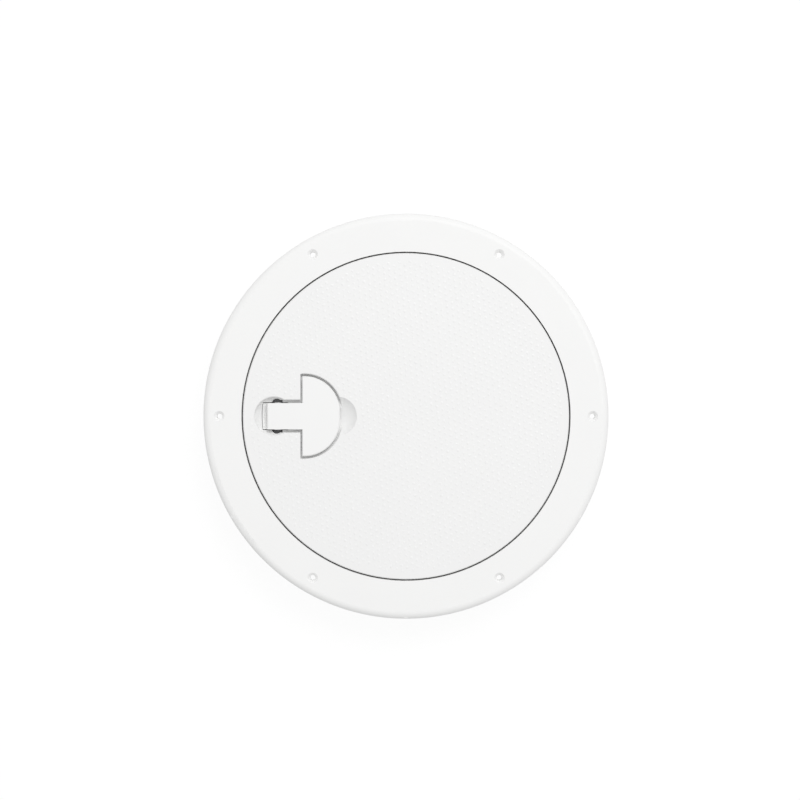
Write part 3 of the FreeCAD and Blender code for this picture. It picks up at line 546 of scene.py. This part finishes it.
@dataclass
class GripField:
    """The low round pips that cover the lid's top, in rows at sixty degrees."""

    pitch: float = 4.2
    row_turn: float = 36.5
    lattice_reach: float = 2.5
    pip_radius: float = 1.05
    pip_height: float = 0.1
    pip_sides: int = 10
    foot_height: float = 0.12
    shoulder_width: float = 0.68
    shoulder_height: float = 0.78
    sharp_past: float = 50
    sunk: float = 0.05
    top: float = 6.0
    field_radius: float = 106.5
    pocket_margin: float = 0.9
    pocket: LeverPocket = field(default_factory=LeverPocket)

    def centres(self) -> np.ndarray:
        """The middles of the pips.

        The lattice is i times the first row's step plus j times the same step turned by sixty degrees,
        the whole turned by the rows' angle. It is skewed, so it is counted out to a few times the field's
        radius. Those outside the field or near the pocket are left out.

        Returns:
            One (x, y) a row.
        """
        reach = int(self.lattice_reach * self.field_radius / self.pitch)
        i, j = np.meshgrid(np.arange(-reach, reach + 1), np.arange(-reach, reach + 1))
        flat = np.stack([i + j / 2, j * math.sqrt(3) / 2], axis=-1).reshape(-1, 2) * self.pitch
        spots = flat @ rotation_about_z(self.row_turn).T
        inside = np.hypot(spots[:, 0], spots[:, 1]) < self.field_radius
        clear = self.pocket.distance(spots[:, 0], spots[:, 1]) > self.pocket_margin + self.pip_radius / 2
        return spots[inside & clear]

    def pip(self) -> tuple[np.ndarray, list]:
        """One pip about the origin.

        Two rings of points at its edge, one in the lid's skin and one just above, one at two thirds of the
        radius and three quarters of the height, and a point at the top.

        Returns:
            The points and the faces.
        """
        sides = self.pip_sides
        turn = np.linspace(0, 2 * math.pi, sides, endpoint=False)
        rings = [(1, -self.sunk), (1, self.pip_height * self.foot_height),
                 (self.shoulder_width, self.pip_height * self.shoulder_height)]
        points = [np.stack([self.pip_radius * wide * np.cos(turn), self.pip_radius * wide * np.sin(turn),
                            np.full(sides, high)], axis=1) for wide, high in rings]
        points.append(np.array([[0, 0, self.pip_height]]))
        ring = np.arange(sides)
        last = (len(rings) - 1) * sides
        fan = np.stack([last + ring, last + (ring + 1) % sides, np.full(sides, len(rings) * sides)], axis=1)
        return np.vstack(points), [grid_faces(len(rings), sides), fan, [ring[::-1]]]

    def build(self, finish: bpy.types.Material) -> None:
        """Makes all the pips as one piece that rides on the lid.

        Each pip's points are the first pip's, moved to its spot on the lid's top.

        Args:
            finish: the pips' material.
        """
        spots = self.centres()
        points, faces = self.pip()
        lifted = np.column_stack([spots, np.full(len(spots), self.top)])
        every = (lifted[:, None, :] + points[None, :, :]).reshape(-1, 3)
        first = np.arange(len(spots)) * len(points)
        blocks = [(np.asarray(block)[None, :, :] + first[:, None, None]).reshape(-1, np.shape(block)[1])
                  for block in faces]
        thing = mesh_piece("lid_grip_pips", every, blocks)
        shade_by_angle(thing, self.sharp_past)
        finish_piece(thing, finish, "lid")


@dataclass
class PocketCorners:
    """The floor and walls at the two back corners of the head's pocket, which the lid's solid lacks."""

    wall_back: float = -74.6
    wall_front: float = -72.21
    wall_top: float = 2.9
    floor_front: float = -69.6
    floor_under: float = -1.7
    floor_top: float = 0.79
    stem_side: float = 15.2
    end_front: float = 29.0
    end_lean: float = 0.05
    end_back: float = 30.9
    end_top: float = 2.85

    def section(self, floor: float) -> np.ndarray:
        """The outline of a floor with a wall at its back.

        Args:
            floor: the floor's height.
        Returns:
            Six corners as (x, z), anticlockwise.
        """
        return np.array([
            (self.wall_back, self.floor_under),
            (self.floor_front, self.floor_under),
            (self.floor_front, floor),
            (self.wall_front, floor),
            (self.wall_front, self.wall_top),
            (self.wall_back, self.wall_top),
        ])

    def corner(self, side: int) -> tuple[np.ndarray, list]:
        """One corner: the section carried along Y, with its floor raised past the head's arc as a wall.

        Args:
            side: 1 for the corner at +Y, -1 for the other.
        Returns:
            The points and the faces, with both ends closed.
        """
        low = self.section(self.floor_top)
        high = self.section(self.end_top)
        along = [(self.stem_side, low), (self.end_front, low), (self.end_front + self.end_lean, high),
                 (self.end_back, high)]
        points = np.vstack([np.insert(outline, 1, side * y, axis=1) for y, outline in along])
        count = len(low)
        start_cap = np.arange(count)[None, :]
        end_cap = start_cap[:, ::-1] + len(points) - count
        return points, [grid_faces(len(along), count), start_cap, end_cap]

    def build(self, finish: bpy.types.Material) -> None:
        """Makes both corners as one piece that rides on the lid.

        Args:
            finish: the corners' material.
        """
        points, faces = merged([self.corner(side) for side in (1, -1)])
        thing = mesh_piece("lid_pocket_corners", points, faces, smooth=False)
        recalculate_outside(thing)
        finish_piece(thing, finish, "lid")


@dataclass
class RingSeal:
    """The moulded seal round the lid's spigot: a soft-cornered body with low lips towards the collar."""

    inside: float = 98.1
    outside: float = 102.7
    middle: float = -14.8
    half_height: float = 2.3
    corner_power: float = 0.72
    lip_depth: float = 0.35
    section_steps: int = 48
    steps_round: int = 240

    def profile(self) -> np.ndarray:
        """The seal's section, as (radius, height) all the way round.

        At the angle a the section lies at (cos a, sin a), each raised to a power below one, which squares
        the corners, times half the width and half the height. The lips are a ripple of three waves over
        the side that faces outwards, as deep as cos a there.

        Returns:
            One (radius, height) a row.
        """
        a = np.linspace(0, 2 * math.pi, self.section_steps, endpoint=False)
        half_width = (self.outside - self.inside) / 2
        across = np.sign(np.cos(a)) * np.abs(np.cos(a)) ** self.corner_power
        along = np.sign(np.sin(a)) * np.abs(np.sin(a)) ** self.corner_power
        outward = np.clip(np.cos(a), 0, 1)
        ripple = self.lip_depth * outward * (1 - np.cos(3 * math.pi * along)) / 2
        radius = (self.inside + self.outside) / 2 + half_width * across - ripple
        return np.column_stack([radius, self.middle + self.half_height * along])

    def build(self, finish: bpy.types.Material) -> None:
        """Makes the seal in place of the plain ring.

        Args:
            finish: the seal's material.
        """
        points, faces = lathed(self.profile(), (0, 0, 0), Along.Z, self.steps_round, closed=True)
        thing = mesh_piece("ring_seal_with_lips", points, faces)
        recalculate_outside(thing)
        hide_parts("lid_seal")
        finish_piece(thing, finish, "lid")


@dataclass
class TorsionSpring:
    """The round-wire spring in the lever's hub, which winds up as the lever lifts."""

    hinge: tuple = (-88.0, 0.0, -3.0)
    coil_radius: float = 4.55
    wire_radius: float = 0.55
    wire_sides: int = 14
    turns: float = 2.25
    pitch: float = 1.21
    upper_leg: float = 6.0
    lower_leg: float = 9.7
    leg_start: float = 0.4
    winding_half: float = 0.8
    coil_steps: int = 120
    upper_steps: int = 8
    lower_steps: int = 10

    def path(self) -> np.ndarray:
        """The wire's middle line.

        The coil is a helix about the hinge: at the turn t it lies at the coil's radius in the direction
        (sin t, cos t) of X and Z, and moves along Y by the pitch for each full turn. One straight leg
        comes to its top from -X, and the other runs down from its right side.

        Returns:
            One point a row.
        """
        t = np.linspace(0, 2 * math.pi * self.turns, self.coil_steps)
        y = self.pitch * (t / (2 * math.pi) - self.turns / 2)
        coil = np.column_stack([self.coil_radius * np.sin(t), y, self.coil_radius * np.cos(t)])
        first = np.zeros((self.upper_steps, 3)) + [0, y[0], self.coil_radius]
        first[:, 0] = np.linspace(-self.upper_leg, -self.leg_start, self.upper_steps)
        last = np.zeros((self.lower_steps, 3)) + [self.coil_radius, y[-1], 0]
        last[:, 2] = np.linspace(-self.leg_start, -self.lower_leg, self.lower_steps)
        return np.vstack([first, coil, last]) + np.array(self.hinge)

    def build(self, finish: bpy.types.Material) -> None:
        """Makes the spring in place of the plain one.

        On the hatch the leg at -Y turns with the lever and the leg at +Y stays with the lid; the wire here
        is built once, in its rest shape, and rides on no body. The coil lies between two points of the
        hinge's axis, as far to one side of its middle as to the other.

        Args:
            finish: the wire's material.
        """
        thing = tube("lever_spring_wire", self.path(), self.wire_radius, self.wire_sides, (0, 1, 0))
        thing.data.materials.append(finish)
        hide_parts("handle_spring")
        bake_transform(thing)
        log.info("%s: %d faces between lid and lever", thing.name, len(thing.data.polygons))


@dataclass
class PanScrews:
    """A pair of pan-head screws with six-sided sockets, in place of a CAD node's plain ones."""

    name: str
    node: str
    body: str
    axis: Along
    seats: tuple
    ways: tuple
    head_radius: float
    head_height: float
    shank_radius: float
    length: float
    socket: float = 1.2
    socket_depth: float = 1.0
    socket_mouth: float = 0.15
    socket_lip: float = 0.1
    socket_flat: float = 0.92
    edge: float = 0.9
    edge_foot: float = 0.35
    edge_steps: int = 9
    under_bevel: float = 0.12
    tip_bevel: float = 0.4
    steps: int = 48
    sharp_past: float = 40

    def profile(self) -> np.ndarray:
        """The section, as (radius, height) above the seat, from the socket's floor to the shank's tip.

        The head's edge is a quarter of an ellipse, from the flat top to a third of the height: at the
        angle phi it lies the edge's width times (1 - cos phi) inside the head's radius.

        Returns:
            One (radius, height) a row.
        """
        high = self.head_height
        phi = np.linspace(math.pi / 2, 0, self.edge_steps)
        shoulder = np.column_stack([self.head_radius - self.edge * (1 - np.cos(phi)),
                                    high * (self.edge_foot + (1 - self.edge_foot) * np.sin(phi))])
        socket = [(0, high - self.socket_depth), (self.socket, high - self.socket_depth),
                  (self.socket, high - self.socket_lip), (self.socket + self.socket_mouth, high)]
        under = [(self.head_radius, self.under_bevel), (self.head_radius - self.under_bevel, 0),
                 (self.shank_radius, 0)]
        tip = [(self.shank_radius, self.tip_bevel - self.length),
               (self.shank_radius - self.tip_bevel, -self.length), (0, -self.length)]
        return np.vstack([socket, shoulder, under, tip])

    def lobes(self, rows: int) -> np.ndarray:
        """The factor on the radius that makes the socket six-sided.

        A hexagon's radius at the turn t is its half width over the cosine of the turn past the middle of
        the nearest side. It holds for the socket's floor and its upper edge.

        Args:
            rows: how many steps the profile has.
        Returns:
            A factor for each profile step and each turn.
        """
        turn = np.linspace(0, 2 * math.pi, self.steps, endpoint=False)
        past = (turn + math.pi / 6) % (math.pi / 3) - math.pi / 6
        factor = np.ones((rows, self.steps))
        factor[1:3] = self.socket_flat / np.cos(past)
        return factor

    def build(self, finish: bpy.types.Material) -> None:
        """Makes both screws as one piece.

        Args:
            finish: the screws' material.
        """
        profile = self.profile()
        lobes = self.lobes(len(profile))
        screws = [lathed(profile, seat, self.axis, self.steps, way, lobes)
                  for seat, way in zip(self.seats, self.ways)]
        thing = mesh_piece(self.name, *merged(screws))
        recalculate_outside(thing)
        shade_by_angle(thing, self.sharp_past)
        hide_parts(self.node)
        finish_piece(thing, finish, self.body)


CLAW_SCREWS = PanScrews("claw_screws_with_sockets", "claw_screws", "lever", Along.Y,
                        seats=((-88.0, 20.3, -3.0), (-88.0, -20.3, -3.0)), ways=(1, -1),
                        head_radius=2.8, head_height=1.8, shank_radius=1.5, length=6.0)
KEEPER_SCREWS = PanScrews("keeper_screws_with_sockets", "keeper_screws", "frame", Along.X,
                          seats=((-99.0, 12.0, -36.0), (-99.0, -12.0, -36.0)), ways=(1, 1),
                          head_radius=3.3, head_height=2.0, shank_radius=1.7, length=8.4)


@dataclass
class Studio:
    """The pale floor, the soft light and the camera straight above.

    The lamp's distance and size and the camera's clipping are in metres, and the rest in millimetres.
    """

    floor_level: float = -45.2
    floor_reach: float = 4000
    camera_height: float = 1306.0
    camera_x: float = -4.1
    camera_y: float = 11.1
    lens: float = 85.56
    sensor: float = 36
    clip_near: float = 0.1
    clip_far: float = 20
    key_way: tuple = (0.2, 0.43, 0.88)
    key_distance: float = 4.2
    key_size: float = 1.96
    key_watts: float = 73.0
    sky: float = 0.65
    floor_grey: float = 0.8
    floor_shade: float = 0.1
    floor_glow: float = 0.915

    def build(self) -> None:
        """Makes the whole room."""
        self.floor()
        self.world()
        self.key()
        self.camera()

    def seen(self, nodes: bpy.types.Nodes, links: bpy.types.NodeLinks) -> bpy.types.NodeSocket:
        """One for the rays that show the background, which are camera, glossy and transmission rays.

        Args:
            nodes: the nodes of a material or of the world.
            links: their links.
        Returns:
            The socket that gives one or zero.
        """
        path = nodes.new("ShaderNodeLightPath")
        first = nodes.new("ShaderNodeMath")
        first.operation = "MAXIMUM"
        second = nodes.new("ShaderNodeMath")
        second.operation = "MAXIMUM"
        links.new(path.outputs["Is Camera Ray"], first.inputs[0])
        links.new(path.outputs["Is Glossy Ray"], first.inputs[1])
        links.new(first.outputs["Value"], second.inputs[0])
        links.new(path.outputs["Is Transmission Ray"], second.inputs[1])
        return second.outputs["Value"]

    def floor(self) -> None:
        """A flat pale floor that keeps the object's shadow and shows white beyond it."""
        half = self.floor_reach
        corners = np.array([[-half, -half], [half, -half], [half, half], [-half, half]])
        points = np.column_stack([corners, np.full(4, self.floor_level)])
        thing = mesh_piece("studio_floor", points, [[[0, 1, 2, 3]]], smooth=False)
        material = bpy.data.materials.new("studio_floor_white")
        material.use_nodes = True
        nodes, links = material.node_tree.nodes, material.node_tree.links
        nodes.clear()
        plain = nodes.new("ShaderNodeBsdfDiffuse")
        plain.inputs["Color"].default_value = (*[self.floor_grey] * 3, 1)
        shaded = nodes.new("ShaderNodeBsdfDiffuse")
        shaded.inputs["Color"].default_value = (*[self.floor_shade] * 3, 1)
        glow = nodes.new("ShaderNodeEmission")
        glow.inputs["Strength"].default_value = self.floor_glow
        both = nodes.new("ShaderNodeAddShader")
        mix = nodes.new("ShaderNodeMixShader")
        out = nodes.new("ShaderNodeOutputMaterial")
        links.new(shaded.outputs[0], both.inputs[0])
        links.new(glow.outputs[0], both.inputs[1])
        links.new(self.seen(nodes, links), mix.inputs[0])
        links.new(plain.outputs[0], mix.inputs[1])
        links.new(both.outputs[0], mix.inputs[2])
        links.new(mix.outputs[0], out.inputs["Surface"])
        thing.data.materials.append(material)

    def world(self) -> None:
        """An even sky that lights the plate, and shows white."""
        scene = bpy.context.scene
        scene.world = bpy.data.worlds.new("studio_sky")
        scene.world.use_nodes = True
        nodes, links = scene.world.node_tree.nodes, scene.world.node_tree.links
        nodes.clear()
        light = nodes.new("ShaderNodeBackground")
        light.inputs["Strength"].default_value = self.sky
        white = nodes.new("ShaderNodeBackground")
        for node in (light, white):
            node.inputs["Color"].default_value = (1, 1, 1, 1)
        mix = nodes.new("ShaderNodeMixShader")
        out = nodes.new("ShaderNodeOutputWorld")
        links.new(self.seen(nodes, links), mix.inputs[0])
        links.new(light.outputs[0], mix.inputs[1])
        links.new(white.outputs[0], mix.inputs[2])
        links.new(mix.outputs[0], out.inputs["Surface"])
        scene.view_settings.view_transform = "Standard"

    def key(self) -> None:
        """A broad lamp from the picture's upper right."""
        way = Vector(self.key_way).normalized()
        lamp = bpy.data.lights.new("key_lamp", "AREA")
        lamp.shape = "DISK"
        lamp.size = self.key_size
        lamp.energy = self.key_watts
        thing = bpy.data.objects.new("key_lamp", lamp)
        thing.location = way * self.key_distance
        thing.rotation_mode = "QUATERNION"
        thing.rotation_quaternion = way.to_track_quat("Z", "Y")
        bpy.context.scene.collection.objects.link(thing)

    def camera(self) -> None:
        """The camera straight above the picture's middle, with +Y up in the picture."""
        eye = bpy.data.cameras.new("picture_camera")
        eye.sensor_width = self.sensor
        eye.lens = self.lens
        eye.clip_start = self.clip_near
        eye.clip_end = self.clip_far
        thing = bpy.data.objects.new("picture_camera", eye)
        thing.location = (self.camera_x * MM, self.camera_y * MM, self.camera_height * MM)
        bpy.context.scene.collection.objects.link(thing)
        bpy.context.scene.camera = thing


def main() -> None:
    """Builds the pieces in order, then the room round them."""
    logging.basicConfig(level=logging.INFO, format="%(name)s: %(message)s")
    finishes = Finishes()
    ring = finishes.ring.make()
    lid = finishes.lid.make()
    lever = finishes.lever.make()
    turned = finishes.turned.make()
    pressed = finishes.pressed.make()
    strip = finishes.strip.make()
    rubber = finishes.seal.make()
    bush = finishes.bush.make()
    coats = {"deck_frame": ring, "lid": lid, "handle": lever, "hub_pins": turned, "handle_shaft": turned,
             "shaft_bushes": bush, "shaft_seals": rubber, "latch_claws": pressed, "claw_washers": pressed,
             "keeper_clip": strip}
    for node, material in coats.items():
        dress(node, material)
    GripField().build(lid)
    PocketCorners().build(lid)
    RingSeal().build(rubber)
    TorsionSpring().build(strip)
    CLAW_SCREWS.build(turned)
    KEEPER_SCREWS.build(turned)
    Studio().build()


if __name__ == "__main__":
    main()
